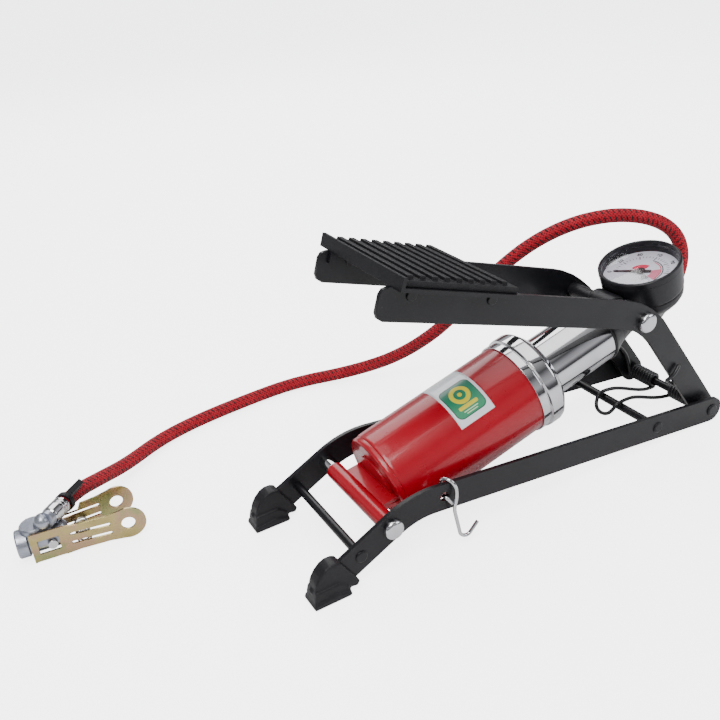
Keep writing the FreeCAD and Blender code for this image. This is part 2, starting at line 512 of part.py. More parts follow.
END = hose_pts[-1]
parts["hose_ferrule"] = revolve([(3.2, 0.05), (5.2, 0.05), (5.3, 2.0), (4.9, 3.0), (5.3, 4.0), (4.9, 5.0), (5.3, 6.0), (5.1, 12.0), (4.2, 13.0), (3.2, 13.0)],
                                END, FERR_DIR, EZ)
bodyc = revolve([(4.3, -2.0), (7.4, -2.0), (8.1, -1.2), (8.1, 3.9), (7.0, 4.6), (7.0, 24.0), (5.4, 25.4), (4.6, 26.0), (0.0, 26.0), (0.0, 14.0), (4.3, 14.0)],
                chp(0, 0, 9.6), E1, EZ)
tower = revolve([(0, 9.6), (6.4, 9.6), (6.4, 16.6), (7.3, 17.4), (7.3, 19.6), (6.7, 20.4), (0, 20.4)],
                chp(8.6, 0, 0), EZ, E1)
tower = tower.cut(cyl(chp(-5, 0, 9.6), E1, 4.3, 19.0))
barb = cyl(END + FERR_DIR * 15.5, FERR_DIR * -1.0, 3.15, 15.0)
barb2 = cyl(END + FERR_DIR * 16.2, FERR_DIR * -1.0, 4.7, 3.1)
elbow = fuse(cyl(chp(13.5, -2.5, 9.6), EZ, 4.3, 13.0), Part.makeSphere(4.7, chp(14.4, -3.2, 22.0)))
bodyc = fuse(bodyc, tower, elbow).cut(cyl(END, FERR_DIR, 5.6, 13.08))
bodyc = fuse(bodyc, barb2, barb)
bodyc = bodyc.cut(cyl(chp(-5, 0, 9.6), E1, 4.3, 19.0)).cut(cyl(chp(13, 0, 9.6), E1, 1.2, 6.0))
parts["chuck_body"] = bodyc
parts["chuck_seal"] = revolve([(2.4, 5.0), (4.25, 5.0), (4.25, 9.5), (2.4, 9.5)], chp(0, 0, 9.6), E1, EZ)
parts["chuck_depressor"] = fuse(cyl(chp(9.6, 0, 9.6), E1, 4.2, 1.2), cyl(chp(7.2, 0, 9.6), E1, 0.9, 2.5))


def clip(side):
    """Pressed jaw plate: plan shape cut with the side profile."""
    s = side
    tc = 57.6 if s < 0 else 54.6                  # middle of the finger hole
    plan = [(5.2, 7.9), (6.2, 7.6), (20.0, 7.6), (tc, 11.4), (tc + 11.0, 12.0), (tc + 11.0, 13.2), (tc, 12.6), (20.0, 8.8),
            (6.6, 8.8), (5.8, 9.3), (5.2, 9.0)]
    pts = [chp(t, s * y, 0.4) for t, y in plan]
    a = Part.Face(Part.makePolygon(pts + [pts[0]])).extrude(V(0, 0, 20.2))
    prof = [(2.0, 0.4), (24.0, 0.4), (30.0, 1.2), (tc - 11.0, 1.6), (tc - 5.0, 1.0), (tc, 0.6)]
    top = [(tc, 20.0), (tc - 5.0, 19.2), (tc - 11.0, 18.2), (30.0, 17.8), (24.0, 18.6), (2.0, 18.6)]
    pp = [chp(t, -30, z) for t, z in prof + top]
    b = Part.Face(Part.makePolygon(pp + [pp[0]])).extrude(E2 * 60)
    disc = cyl(chp(tc, -30, 10.3), E2, 9.8, 60)
    c = a.common(fuse(b, disc))
    hole = cyl(chp(tc, -30, 10.3), E2, 3.8, 60)
    c = c.cut(hole)
    t0, t1 = tc - 30.4, tc - 10.4
    for z in (6.8, 12.6):
        slot = fuse(cyl(chp(t0, -30, z), E2, 0.9, 60), cyl(chp(t1, -30, z), E2, 0.9, 60),
                    Part.Face(Part.makePolygon([chp(t0, -30, z - 0.9), chp(t1, -30, z - 0.9), chp(t1, -30, z + 0.9),
                                                chp(t0, -30, z + 0.9), chp(t0, -30, z - 0.9)])).extrude(E2 * 60))
        c = c.cut(slot)
    win = [chp(8.9, -30, 5.0), chp(20.3, -30, 5.0), chp(20.3, -30, 13.6), chp(8.9, -30, 13.6)]
    c = c.cut(Part.Face(Part.makePolygon(win + [win[0]])).extrude(E2 * 60))
    # rolled bead that the plate rocks on
    c = fuse(c, cyl(chp(22.8, s * 8.2, 0.4), EZ, 1.1, 13.5 if s > 0 else 18.1))
    if side > 0:
        # room for the hose fitting to pass over the far plate
        note = [chp(13.5, -30, 20.0), chp(16.5, -30, 14.0), chp(33.0, -30, 14.0), chp(36.0, -30, 20.0)]
        c = c.cut(Part.Face(Part.makePolygon(note + [note[0]])).extrude(E2 * 60))
    return c


parts["clip_plate_near"] = clip(-1)
parts["clip_plate_far"] = clip(1)
parts["chuck_cross_stud_near"] = cyl(chp(16.6, -7.02, 9.3), E2 * -1.0, 2.7, 2.6)
parts["chuck_cross_stud_far"] = cyl(chp(16.6, 7.02, 9.3), E2, 2.7, 2.6)
sp = cyl(chp(33.0, -8.35, 6.4), E2, 4.2, 16.7).cut(cyl(chp(33.0, -9.8, 6.4), E2, 3.2, 20.0))
parts["clip_spring"] = sp

# loop tag on the hose by the ferrule, holding the needle adapters
tagc = END - FERR_DIR * 3.0
band = revolve([(4.45, -1.6), (5.6, -1.6), (5.6, 1.6), (4.45, 1.6)], tagc, FERR_DIR, EZ)
side_dir = FERR_DIR.cross(EZ)
side_dir.normalize()
tab = Part.makeBox(11.0, 3.4, 6.4)
tab.translate(V(-9.4, -1.7, 5.2))
tab.Placement = place(tagc, EZ * 0.8 + side_dir * -0.6, FERR_DIR).multiply(tab.Placement)
parts["hose_tag"] = fuse(band, tab)

# ------------------------------------------------------------------ output
for name in sorted(parts):
    shape = parts[name].copy()
    shape.translate(V(SHIFT_X, 0, 0))
    if not shape.isValid():
        print("NOT VALID", name)
    n = len(shape.Solids)
    shape.exportStep("parts/%s.step" % name)
    bb = shape.optimalBoundingBox(False, False) if hasattr(shape, "optimalBoundingBox") else shape.BoundBox
    print("%-24s solids %d vol %9.1f  x %7.1f %7.1f  y %7.1f %7.1f  z %6.1f %6.1f" % (
        name, n, shape.Volume, bb.XMin, bb.XMax, bb.YMin, bb.YMax, bb.ZMin, bb.ZMax))
print("nodes", len(parts))
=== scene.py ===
import bpy, bmesh, math, json
import numpy as np
from mathutils import Matrix, Vector


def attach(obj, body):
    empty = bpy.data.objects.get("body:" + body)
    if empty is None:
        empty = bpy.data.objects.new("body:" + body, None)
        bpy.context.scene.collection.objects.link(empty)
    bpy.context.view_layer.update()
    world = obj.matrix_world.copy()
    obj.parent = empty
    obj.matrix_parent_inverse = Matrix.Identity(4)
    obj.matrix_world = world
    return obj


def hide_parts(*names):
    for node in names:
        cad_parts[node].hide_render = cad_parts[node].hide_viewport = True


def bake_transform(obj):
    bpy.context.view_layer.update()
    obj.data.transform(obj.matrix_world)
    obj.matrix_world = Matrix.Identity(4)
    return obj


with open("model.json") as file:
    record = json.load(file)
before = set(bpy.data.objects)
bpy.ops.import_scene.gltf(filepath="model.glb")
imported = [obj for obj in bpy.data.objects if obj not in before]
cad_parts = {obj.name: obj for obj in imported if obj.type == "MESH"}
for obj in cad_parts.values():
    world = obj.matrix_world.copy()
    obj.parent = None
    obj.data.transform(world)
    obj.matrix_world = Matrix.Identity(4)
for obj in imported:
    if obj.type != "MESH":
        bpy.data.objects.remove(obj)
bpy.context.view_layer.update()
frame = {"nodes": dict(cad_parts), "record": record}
NODES = frame["nodes"]
MM = 0.001

# ------------------------------------------------------------------ camera
cam_data = bpy.data.cameras.new("camera")
cam_data.sensor_width = 36.0
cam_data.lens = 43.245
cam_data.clip_start = 0.01
cam_data.clip_end = 20.0
cam = bpy.data.objects.new("camera", cam_data)
bpy.context.scene.collection.objects.link(cam)
right = Vector((0.865632, -0.493180, -0.086339))
up = Vector((0.299530, 0.371921, 0.878611))
fwd = Vector((0.401202, 0.786415, -0.469668))
cam.matrix_world = Matrix((
    (right.x, up.x, -fwd.x, -0.25885),
    (right.y, up.y, -fwd.y, -0.34093),
    (right.z, up.z, -fwd.z, 0.30641),
    (0, 0, 0, 1)))
bpy.context.scene.camera = cam

# ------------------------------------------------------- layout directions
SX = -3.4
PITCH = math.radians(15.24)
DX = Vector((math.cos(PITCH), 0, math.sin(PITCH)))
DN = Vector((-math.sin(PITCH), 0, math.cos(PITCH)))
DY = Vector((0, 1, 0))


def onax(s, h=0.0, y=0.0):
    """Point (metres) at s mm along the barrel axis, h above it, y sideways."""
    return (Vector((-92.1 + SX, 0, 22.4)) + DX * s + DN * h + DY * y) * MM


CO, E1, E2 = Vector((-256.5 + SX, 88.4, 0)), Vector((0.9938, -0.1115, 0)), Vector((0.1115, 0.9938, 0))


def chp(t, y, z):
    return (CO + E1 * t + E2 * y + Vector((0, 0, z))) * MM


# --------------------------------------------------------------- materials
class Net:
    """Small helper that adds shader nodes and links them."""

    def __init__(self, name):
        self.m = bpy.data.materials.new(name)
        self.m.use_nodes = True
        self.t = self.m.node_tree
        self.t.nodes.clear()
        self.out = self.t.nodes.new("ShaderNodeOutputMaterial")

    def n(self, kind, **kw):
        node = self.t.nodes.new(kind)
        for k, v in kw.items():
            setattr(node, k, v)
        return node

    def put(self, sock, v):
        if isinstance(v, bpy.types.NodeSocket):
            self.t.links.new(v, sock)
        elif isinstance(v, (tuple, list)) and len(v) == 3 and sock.type == "RGBA":
            sock.default_value = (*v, 1.0)
        else:
            sock.default_value = v

    def math(self, op, a, b=0.0, c=None):
        node = self.n("ShaderNodeMath", operation=op)
        self.put(node.inputs[0], a)
        self.put(node.inputs[1], b)
        if c is not None:
            self.put(node.inputs[2], c)
        return node.outputs[0]

    def mix(self, f, a, b):
        node = self.n("ShaderNodeMix", data_type="RGBA")
        self.put(node.inputs[0], f)
        self.put(node.inputs[6], a)
        self.put(node.inputs[7], b)
        return node.outputs[2]

    def coord(self, kind="Object"):
        return self.n("ShaderNodeTexCoord").outputs[kind]

    def noise(self, scale, detail=3.0, rough=0.55, vec=None):
        node = self.n("ShaderNodeTexNoise")
        self.put(node.inputs["Vector"], vec if vec is not None else self.coord())
        node.inputs["Scale"].default_value = scale
        node.inputs["Detail"].default_value = detail
        node.inputs["Roughness"].default_value = rough
        return node.outputs["Fac"]

    def scaled(self, vec, sc):
        node = self.n("ShaderNodeMapping")
        self.put(node.inputs["Vector"], vec)
        node.inputs["Scale"].default_value = sc
        return node.outputs[0]

    def ramp(self, f, stops):
        node = self.n("ShaderNodeValToRGB")
        self.put(node.inputs[0], f)
        el = node.color_ramp.elements
        while len(el) < len(stops):
            el.new(0.5)
        for e, (p, c) in zip(el, stops):
            e.position = p
            e.color = (*c, 1.0) if len(c) == 3 else c
        return node.outputs[0]

    def rng(self, f, lo, hi, a=0.0, b=1.0):
        node = self.n("ShaderNodeMapRange")
        self.put(node.inputs[0], f)
        for i, v in enumerate((a, b, lo, hi)):
            node.inputs[i + 1].default_value = v
        return node.outputs[0]

    def bump(self, h, strength, dist=0.0002):
        node = self.n("ShaderNodeBump")
        node.inputs["Strength"].default_value = strength
        node.inputs["Distance"].default_value = dist
        self.put(node.inputs["Height"], h)
        return node.outputs[0]

    def bsdf(self, color, rough, metallic=0.0, normal=None, coat=0.0, coat_rough=0.05, spec=0.5, aniso=0.0, sheen=0.0):
        b = self.n("ShaderNodeBsdfPrincipled")
        self.put(b.inputs["Base Color"], color)
        self.put(b.inputs["Roughness"], rough)
        b.inputs["Metallic"].default_value = metallic
        b.inputs["Specular IOR Level"].default_value = spec
        b.inputs["Coat Weight"].default_value = coat
        b.inputs["Coat Roughness"].default_value = coat_rough
        b.inputs["Anisotropic"].default_value = aniso
        b.inputs["Sheen Weight"].default_value = sheen
        if normal is not None:
            self.put(b.inputs["Normal"], normal)
        self.t.links.new(b.outputs[0], self.out.inputs[0])
        return b


def surface(name, c0, c1, rough, rvar=0.06, metallic=0.0, grain=900.0, bump=0.08, patch=22.0, coat=0.0, coat_rough=0.05, spec=0.5, sheen=0.0, dist=0.0002):
    """A coated or moulded surface: slow colour drift, fine grain in roughness and height."""
    w = Net(name)
    slow = w.noise(patch, 4.0)
    fine = w.noise(grain, 3.0, 0.6)
    col = w.mix(w.rng(slow, 0.0, 1.0, 0.35, 0.68), c0, c1)
    rg = w.rng(w.noise(patch * 5, 5.0, 0.65), rough - rvar, rough + rvar, 0.3, 0.7)
    w.bsdf(col, rg, metallic, w.bump(fine, bump, dist), coat, coat_rough, spec, 0.0, sheen)
    return w.m


def painted(name, c0, c1, rough, worn, amount=0.72):
    """Enamel on steel with a fine orange peel and a few worn spots on its edges."""
    w = Net(name)
    geo = w.n("ShaderNodeNewGeometry")
    peel = w.noise(520.0, 2.0)
    slow = w.noise(30.0, 4.0)
    edge = w.rng(geo.outputs["Pointiness"], 0.0, 1.0, 0.53, 0.60)
    spots = w.rng(w.noise(260.0, 6.0, 0.7), 0.0, 1.0, amount - 0.03, amount)
    wear = w.math("MULTIPLY", edge, spots)
    col = w.mix(w.rng(slow, 0.0, 1.0, 0.35, 0.68), c0, c1)
    dust = w.rng(w.noise(1500.0, 2.0), 0.0, 0.18, 0.66, 0.80)
    col = w.mix(dust, col, (0.16, 0.16, 0.17))
    col = w.mix(wear, col, worn)
    rg = w.rng(w.noise(110.0, 5.0), rough - 0.05, rough + 0.07, 0.3, 0.7)
    w.bsdf(col, rg, 0.0, w.bump(peel, 0.08, 0.00022), 0.06, 0.14, 0.30)
    return w.m


def chrome(name, c0=(0.66, 0.66, 0.685), rough=0.07):
    w = Net(name)
    sc = w.noise(900.0, 4.0, 0.6, w.scaled(w.coord(), (1.0, 6.0, 6.0)))
    slow = w.noise(60.0, 4.0)
    col = w.mix(w.rng(slow, 0.0, 1.0, 0.35, 0.7), c0, tuple(0.86 * v for v in c0))
    rg = w.rng(w.noise(160.0, 6.0, 0.7), rough - 0.03, rough + 0.07, 0.35, 0.75)
    w.bsdf(col, rg, 1.0, w.bump(sc, 0.035, 0.0001))
    return w.m


def zinc(name):
    """Yellow passivated zinc: straw to pink and green, as an oil film."""
    w = Net(name)
    f = w.noise(42.0, 3.0, 0.5)
    col = w.ramp(f, [(0.30, (0.36, 0.29, 0.11)), (0.44, (0.48, 0.39, 0.17)), (0.52, (0.48, 0.32, 0.20)), (0.60, (0.32, 0.33, 0.15)), (0.70, (0.44, 0.36, 0.15))])
    rg = w.rng(w.noise(240.0, 5.0), 0.17, 0.33, 0.3, 0.7)
    w.bsdf(col, rg, 1.0, w.bump(w.noise(700.0, 3.0), 0.06, 0.0002))
    return w.m


def brushed(name, c0, rough, stretch=(1.0, 14.0, 14.0)):
    w = Net(name)
    lines = w.noise(700.0, 4.0, 0.6, w.scaled(w.coord(), stretch))
    col = w.mix(w.rng(lines, 0.0, 1.0, 0.35, 0.7), c0, tuple(0.75 * v for v in c0))
    rg = w.rng(w.noise(120.0, 4.0), rough - 0.06, rough + 0.1, 0.3, 0.7)
    w.bsdf(col, rg, 1.0, w.bump(lines, 0.12, 0.0002))
    return w.m


def braid(name):
    """Woven cover: u runs along the hose and v round it, both in strand widths."""
    w = Net(name)
    uv = w.n("ShaderNodeSeparateXYZ")
    w.put(uv.inputs[0], w.coord("UV"))
    u, v = uv.outputs[0], uv.outputs[1]
    # u: millimetres along, v: 0..1 round
    ua = w.math("MULTIPLY", u, 0.5)
    va = w.math("MULTIPLY", v, 12.0)
    p = w.math("ADD", ua, va)
    q = w.math("SUBTRACT", ua, va)
    tau = 2 * math.pi
    sp = w.math("SINE", w.math("MULTIPLY", p, tau))
    sq = w.math("SINE", w.math("MULTIPLY", q, tau))
    weave = w.math("MAXIMUM", sp, sq)
    # fine threads along each strand
    th = w.math("SINE", w.math("MULTIPLY", p, tau * 5))
    th2 = w.math("SINE", w.math("MULTIPLY", q, tau * 5))
    over = w.math("GREATER_THAN", sp, sq)
    thread = w.math("ADD", w.math("MULTIPLY", over, th), w.math("MULTIPLY", w.math("SUBTRACT", 1.0, over), th2))
    height = w.math("ADD", weave, w.math("MULTIPLY", thread, 0.16))
    # dark tracer: a slanted dash in every other cell of a staggered grid, four rows round
    rows = w.math("MULTIPLY", v, 5.0)
    row = w.math("FLOOR", rows)
    along = w.math("ADD", w.math("MULTIPLY", u, 1.0 / 3.3), w.math("MULTIPLY", row, 0.5))
    wob = w.math("MULTIPLY", w.math("SUBTRACT", w.noise(330.0, 2.0), 0.5), 0.22)
    fa = w.math("ADD", w.math("FRACT", along), wob)
    fr = w.math("FRACT", rows)
    slant = w.math("ADD", w.math("SUBTRACT", fa, 0.5), w.math("MULTIPLY", w.math("SUBTRACT", fr, 0.5), -0.62))
    dash = w.math("LESS_THAN", w.math("ABSOLUTE", slant), 0.13)
    inrow = w.math("LESS_THAN", w.math("ABSOLUTE", w.math("SUBTRACT", fr, 0.5)), 0.32)
    mark = w.math("MULTIPLY", dash, inrow)
    red = w.mix(w.rng(w.noise(150.0, 4.0), 0.0, 1.0, 0.3, 0.7), (0.40, 0.0035, 0.016), (0.54, 0.010, 0.028))
    # painted shade: the red is mixed towards a dark red where the weave height is low, in the grooves between the
    # strands
    red = w.mix(w.rng(weave, 0.0, 1.0, 0.55, -0.35), red, (0.15, 0.002, 0.006))
    col = w.mix(mark, red, (0.012, 0.008, 0.010))
    w.bsdf(col, w.rng(w.noise(260.0), 0.46, 0.66, 0.3, 0.7), 0.0, w.bump(height, 0.75, 0.00035), 0.0, 0.05, 0.22, 0.0, 0.03)
    return w.m


def lens(name):
    w = Net(name)
    tr = w.n("ShaderNodeBsdfTransparent")
    gl = w.n("ShaderNodeBsdfGlossy")
    w.put(gl.inputs["Roughness"], w.rng(w.noise(90.0, 3.0), 0.02, 0.04, 0.3, 0.7))
    fr = w.n("ShaderNodeFresnel")
    fr.inputs[0].default_value = 1.42
    mx = w.n("ShaderNodeMixShader")
    w.put(mx.inputs[0], w.math("MULTIPLY", fr.outputs[0], 0.08))
    w.t.links.new(tr.outputs[0], mx.inputs[1])
    w.t.links.new(gl.outputs[0], mx.inputs[2])
    w.t.links.new(mx.outputs[0], w.out.inputs[0])
    return w.m


def sticker_mat(name):
    """Generic printed label. UV is millimetres: u along the barrel, v round it."""
    w = Net(name)
    uv = w.n("ShaderNodeSeparateXYZ")
    w.put(uv.inputs[0], w.coord("UV"))
    u, v = uv.outputs[0], uv.outputs[1]

    def rbox(cx, cy, hx, hy, r, soft=0.12):
        dx = w.math("MAXIMUM", w.math("SUBTRACT", w.math("ABSOLUTE", w.math("SUBTRACT", u, cx)), hx - r), 0.0)
        dy = w.math("MAXIMUM", w.math("SUBTRACT", w.math("ABSOLUTE", w.math("SUBTRACT", v, cy)), hy - r), 0.0)
        d = w.math("SQRT", w.math("ADD", w.math("MULTIPLY", dx, dx), w.math("MULTIPLY", dy, dy)))
        return w.rng(d, 1.0, 0.0, r - soft, r + soft)

    def ring(cx, cy, R, half, soft=0.12):
        dx, dy = w.math("SUBTRACT", u, cx), w.math("SUBTRACT", v, cy)
        d = w.math("SQRT", w.math("ADD", w.math("MULTIPLY", dx, dx), w.math("MULTIPLY", dy, dy)))
        return w.rng(w.math("ABSOLUTE", w.math("SUBTRACT", d, R)), 1.0, 0.0, half - soft, half + soft)

    white = w.mix(w.rng(w.noise(60.0), 0.0, 1.0, 0.3, 0.7), (0.84, 0.86, 0.88), (0.76, 0.78, 0.82))
    bars = w.math("MULTIPLY", rbox(73.5, -7.0, 7.5, 2.2, 0.3), w.math("GREATER_THAN", w.math("SINE", w.math("MULTIPLY", v, 5.2)), 0.1))
    bars = w.math("MULTIPLY", bars, w.rng(w.noise(900.0, 2.0), 0.0, 0.5, 0.40, 0.60))
    col = w.mix(bars, white, (0.42, 0.42, 0.66))
    dark = rbox(73.6, 10.6, 9.75, 10.7, 3.8)
    col = w.mix(dark, col, (0.004, 0.05, 0.03))
    grn = w.mix(w.rng(v, 0.0, 1.0, 0.0, 21.0), (0.004, 0.13, 0.085), (0.03, 0.28, 0.13))
    col = w.mix(rbox(73.6, 10.6, 9.25, 10.2, 3.4), col, grn)
    yel = w.mix(w.rng(w.noise(160.0), 0.0, 1.0, 0.3, 0.7), (0.66, 0.62, 0.03), (0.72, 0.56, 0.02))
    shapes = [ring(73.6, 8.2, 4.7, 1.25), rbox(73.6, 8.2, 1.3, 1.3, 1.2), rbox(73.6, 15.8, 6.2, 1.1, 0.9)]
    for s in shapes:
        col = w.mix(s, col, yel)
    for k in range(2):
        col = w.mix(rbox(73.6, 18.2 + 1.3 * k, 4.6 - k, 0.28, 0.2), col, (0.55, 0.78, 0.45))
    w.bsdf(col, w.rng(w.noise(140.0), 0.28, 0.42, 0.3, 0.7), 0.0, w.bump(w.noise(500.0), 0.04), 0.35, 0.1)
    return w.m


MAT = {
    "frame_paint": painted("frame_paint", (0.0045, 0.0044, 0.0060), (0.0075, 0.0073, 0.0098), 0.33, (0.42, 0.41, 0.40)),
    "barrel_paint": surface("barrel_paint", (0.33, 0.0010, 0.010), (0.39, 0.0016, 0.014), 0.30, 0.05, 0.0, 380.0, 0.05, 16.0, 0.45, 0.08, 0.30),
    "chrome": chrome("chrome"),
    "cast_black": surface("cast_black", (0.0045, 0.0044, 0.0062), (0.0075, 0.0072, 0.010), 0.42, 0.07, 0.0, 620.0, 0.20, 30.0, spec=0.36),
    "gauge_black": surface("gauge_black", (0.0050, 0.0048, 0.0072), (0.0080, 0.0078, 0.011), 0.36, 0.05, 0.0, 800.0, 0.10, 40.0, spec=0.36),
    "rubber_black": surface("rubber_black", (0.0050, 0.0048, 0.0066), (0.0085, 0.0082, 0.0105), 0.50, 0.08, 0.0, 700.0, 0.22, 50.0, spec=0.32),
    "dial_white": surface("dial_white", (0.62, 0.62, 0.70), (0.56, 0.56, 0.64), 0.42, 0.05, 0.0, 500.0, 0.03, 60.0),
    "lens_clear": lens("lens_clear"),
    "needle_red": surface("needle_red", (0.012, 0.004, 0.006), (0.02, 0.006, 0.009), 0.45, 0.05, 0.0, 800.0, 0.05, 200.0),
    "brass": brushed("brass", (0.75, 0.55, 0.26), 0.28),
    "steel": brushed("steel", (0.56, 0.55, 0.54), 0.26),
    "spring_black": surface("spring_black", (0.014, 0.014, 0.016), (0.024, 0.024, 0.027), 0.34, 0.06, 0.4, 900.0, 0.08, 60.0, 0.3, 0.2),
    "zinc_yellow": zinc("zinc_yellow"),
    "chuck_alloy": surface("chuck_alloy", (0.30, 0.32, 0.38), (0.40, 0.42, 0.48), 0.32, 0.07, 0.85, 500.0, 0.16, 70.0),
    "hose_braid": braid("hose_braid"),
    "nylon_white": surface("nylon_white", (0.72, 0.72, 0.68), (0.78, 0.78, 0.74), 0.45, 0.05, 0.0, 500.0, 0.05, 60.0),
    "print_black": surface("print_black", (0.004, 0.004, 0.007), (0.008, 0.008, 0.012), 0.5, 0.05, 0.0, 900.0, 0.02, 200.0),
    "print_pink": surface("print_pink", (0.62, 0.16, 0.24), (0.56, 0.12, 0.20), 0.45, 0.05, 0.0, 900.0, 0.02, 200.0),
    "print_red": surface("print_red", (0.52, 0.006, 0.045), (0.60, 0.012, 0.06), 0.4, 0.05, 0.0, 900.0, 0.03, 200.0),
    "print_grey": surface("print_grey", (0.26, 0.26, 0.28), (0.34, 0.34, 0.36), 0.45, 0.05, 0.0, 900.0, 0.03, 200.0),
    "label": sticker_mat("label"),
}
SLOT_OF = {s["node"]: s["material_slot"] for s in frame["record"]["subparts"]}


def set_mat(o, name):
    o.data.materials.clear()
    o.data.materials.append(MAT[name])


# ---------------------------------------------- finish of the CAD surfaces
def smooth_group():
    """Geometry nodes: smooth shading, sharp only at real corners."""
    g = bpy.data.node_groups.new("smooth_by_angle", "GeometryNodeTree")
    g.interface.new_socket("Geometry", in_out="INPUT", socket_type="NodeSocketGeometry")
    g.interface.new_socket("Geometry", in_out="OUTPUT", socket_type="NodeSocketGeometry")
    i, o = g.nodes.new("NodeGroupInput"), g.nodes.new("NodeGroupOutput")
    a = g.nodes.new("GeometryNodeInputMeshEdgeAngle")
    c = g.nodes.new("FunctionNodeCompare")
    c.data_type, c.operation = "FLOAT", "LESS_THAN"
    c.inputs[1].default_value = math.radians(38)
    f = g.nodes.new("GeometryNodeSetShadeSmooth")
    f.domain = "FACE"
    f.inputs["Shade Smooth"].default_value = True
    e = g.nodes.new("GeometryNodeSetShadeSmooth")
    e.domain = "EDGE"
    g.links.new(a.outputs[0], c.inputs[0])
    g.links.new(i.outputs[0], f.inputs[0])
    g.links.new(f.outputs[0], e.inputs[0])
    g.links.new(c.outputs[0], e.inputs["Shade Smooth"])
    g.links.new(e.outputs[0], o.inputs[0])
    return g


SMOOTH = smooth_group()
BEVEL = {
    "frame_paint": 0.55, "barrel_paint": 0.35, "chrome": 0.30, "cast_black": 0.6, "gauge_black": 0.35,
    "rubber_black": 0.9, "zinc_yellow": 0.28, "chuck_alloy": 0.35, "brass": 0.2, "steel": 0.2, "dial_white": 0.1,
}
SPECIAL = {"barrel_collar": 0.22, "front_foot_near": 1.3, "front_foot_far": 1.3, "pump_head": 0.8, "gauge_bezel": 0.2, "pedal_pad": 0.5,
           "intake_flap": 0.2, "piston_cup_seal": 0.2, "chuck_seal": 0.2, "hose_tag": 0.5, "pump_tube": 0.2, "barrel_tube": 0.25}
# moulded and cast pieces with run-in edges: voxel size (mm), smoothing passes
SOFT = {"front_foot_near": (0.45, 12), "front_foot_far": (0.45, 12), "pump_head": (0.55, 7)}
for n, o in NODES.items():
    set_mat(o, SLOT_OF[n])
    if "custom_normal" in o.data.attributes:
        o.data.attributes.remove(o.data.attributes["custom_normal"])
    wd = o.modifiers.new("weld", "WELD")
    wd.merge_threshold = 0.00001
    pl = o.modifiers.new("planar", "DECIMATE")
    pl.decimate_type = "DISSOLVE"
    pl.angle_limit = math.radians(0.4)
    if n in SOFT:
        voxel, passes = SOFT[n]
        rm = o.modifiers.new("remesh", "REMESH")
        rm.mode = "VOXEL"
        rm.voxel_size = voxel * MM
        sf = o.modifiers.new("soften", "SMOOTH")
        sf.factor = 0.5
        sf.iterations = passes
        sm = o.modifiers.new("smooth", "NODES")
        sm.node_group = SMOOTH
        continue
    width = SPECIAL.get(n, BEVEL.get(SLOT_OF[n], 0.0))
    if width:
        bv = o.modifiers.new("bevel", "BEVEL")
        bv.width = width * MM
        bv.segments = 3
        bv.limit_method = "ANGLE"
        bv.angle_limit = math.radians(34)
        bv.use_clamp_overlap = True
    sm = o.modifiers.new("smooth", "NODES")
    sm.node_group = SMOOTH
    wn = o.modifiers.new("weighted", "WEIGHTED_NORMAL")
    wn.keep_sharp = True
    wn.weight = 100


# ---------------------------------------------------------- mesh building
def obj_from(name, verts, faces, mat, smooth=True, uvs=None):
    me = bpy.data.meshes.new(name)
    me.from_pydata([tuple(v) for v in verts], [], faces)
    me.update()
    if uvs is not None:
        layer = me.uv_layers.new(name="UVMap")
        for loop in me.loops:
            layer.data[loop.index].uv = uvs[loop.index] if isinstance(uvs, list) else uvs(loop)
    me.polygons.foreach_set("use_smooth", [smooth] * len(me.polygons))
    o = bpy.data.objects.new(name, me)
    bpy.context.scene.collection.objects.link(o)
    set_mat(o, mat)
    return o


def spline2(ctrl, per=8):
    """Clamped quadratic B-spline through a control list, for wires."""
    c = [Vector(p) for p in ctrl]
    out = [c[0]]
    for i in range(1, len(c) - 1):
        a = c[0] if i == 1 else (c[i - 1] + c[i]) / 2
        b = c[-1] if i == len(c) - 2 else (c[i] + c[i + 1]) / 2
        for k in range(1, per + 1):
            t = k / per
            out.append(a * (1 - t) ** 2 + c[i] * 2 * t * (1 - t) + b * t * t)
    return out


def tube_geo(pts, r, sides=14, taper=None):
    """Vertices, faces and (length, turn) pairs of a tube along pts; ends capped with a small dome."""
    pts = [Vector(p) for p in pts]
    n = len(pts)
    tang = []
    for i in range(n):
        d = pts[min(i + 1, n - 1)] - pts[max(i - 1, 0)]
        tang.append(d.normalized())
    ref = Vector((0, 0, 1)) if abs(tang[0].z) < 0.9 else Vector((1, 0, 0))
    x = (ref - tang[0] * ref.dot(tang[0])).normalized()
    verts, faces, run = [], [], [0.0]
    for i in range(n):
        if i:
            q = tang[i - 1].rotation_difference(tang[i])
            x = q @ x
            x = (x - tang[i] * x.dot(tang[i])).normalized()
            run.append(run[-1] + (pts[i] - pts[i - 1]).length)
        y = tang[i].cross(x)
        rr = r if taper is None else r * taper(i / (n - 1))
        for k in range(sides):
            a = 2 * math.pi * k / sides
            verts.append(pts[i] + x * (rr * math.cos(a)) + y * (rr * math.sin(a)))
    for i in range(n - 1):
        for k in range(sides):
            a, b = i * sides + k, i * sides + (k + 1) % sides
            faces.append((a, b, b + sides, a + sides))
    for end, sgn in ((0, -1), (n - 1, 1)):
        base = end * sides
        c = len(verts)
        verts.append(pts[end] + tang[end] * (sgn * r * 0.35))
        for k in range(sides):
            a, b = base + k, base + (k + 1) % sides
            faces.append((b, a, c) if sgn < 0 else (a, b, c))
    return verts, faces, run


def merge(*geos):
    verts, faces = [], []
    for v, f, *_ in geos:
        off = len(verts)
        verts += list(v)
        faces += [tuple(i + off for i in face) for face in f]
    return verts, faces


def helix(c, axis, u, R, length, turns, start=0.0, per=28):
    """Points of a helix from c along axis; u is the direction of angle 0."""
    axis = Vector(axis).normalized()
    u = Vector(u).normalized()
    v = axis.cross(u)
    n = int(per * turns)
    return [c + axis * (length * k / n) + u * (R * math.cos(start + 2 * math.pi * turns * k / n)) + v * (R * math.sin(start + 2 * math.pi * turns * k / n)) for k in range(n + 1)]


